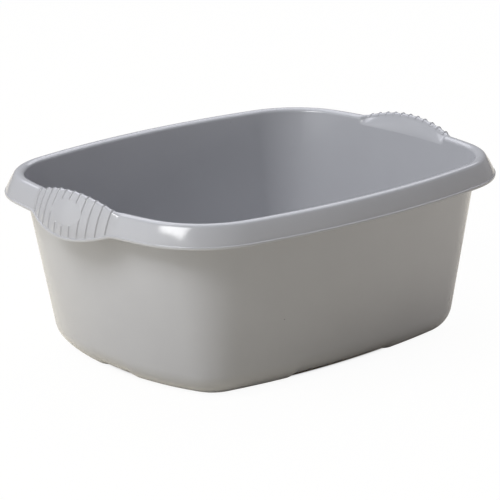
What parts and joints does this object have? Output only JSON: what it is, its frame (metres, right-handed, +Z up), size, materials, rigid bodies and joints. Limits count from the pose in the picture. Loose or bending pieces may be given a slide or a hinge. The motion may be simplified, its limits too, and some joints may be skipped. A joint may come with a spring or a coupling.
{
  "type": "rectangular washing-up bowl",
  "caption": "Deep rectangular bowl with bowed sides, rounded corners, a rolled rim with a wide skirt, and a ribbed fan-shaped grip at each end.",
  "frame": {"origin": "middle of the footprint at ground level, where the corner feet stand", "axes": "+X along the long side towards one grip, +Y across the bowl, +Z up out of its mouth"},
  "size_m": [0.3902, 0.3146, 0.1598],
  "materials": {
    "grey_polypropylene": "satin, as moulded"
  },
  "bodies": {
    "root": {"base_tray": "grey_polypropylene", "side_wall": "grey_polypropylene", "rim_front": "grey_polypropylene", "rim_back": "grey_polypropylene", "grip_left": "grey_polypropylene", "grip_right": "grey_polypropylene", "foot_front_left": "grey_polypropylene", "foot_front_right": "grey_polypropylene", "foot_back_left": "grey_polypropylene", "foot_back_right": "grey_polypropylene"}
  },
  "joints": []
}
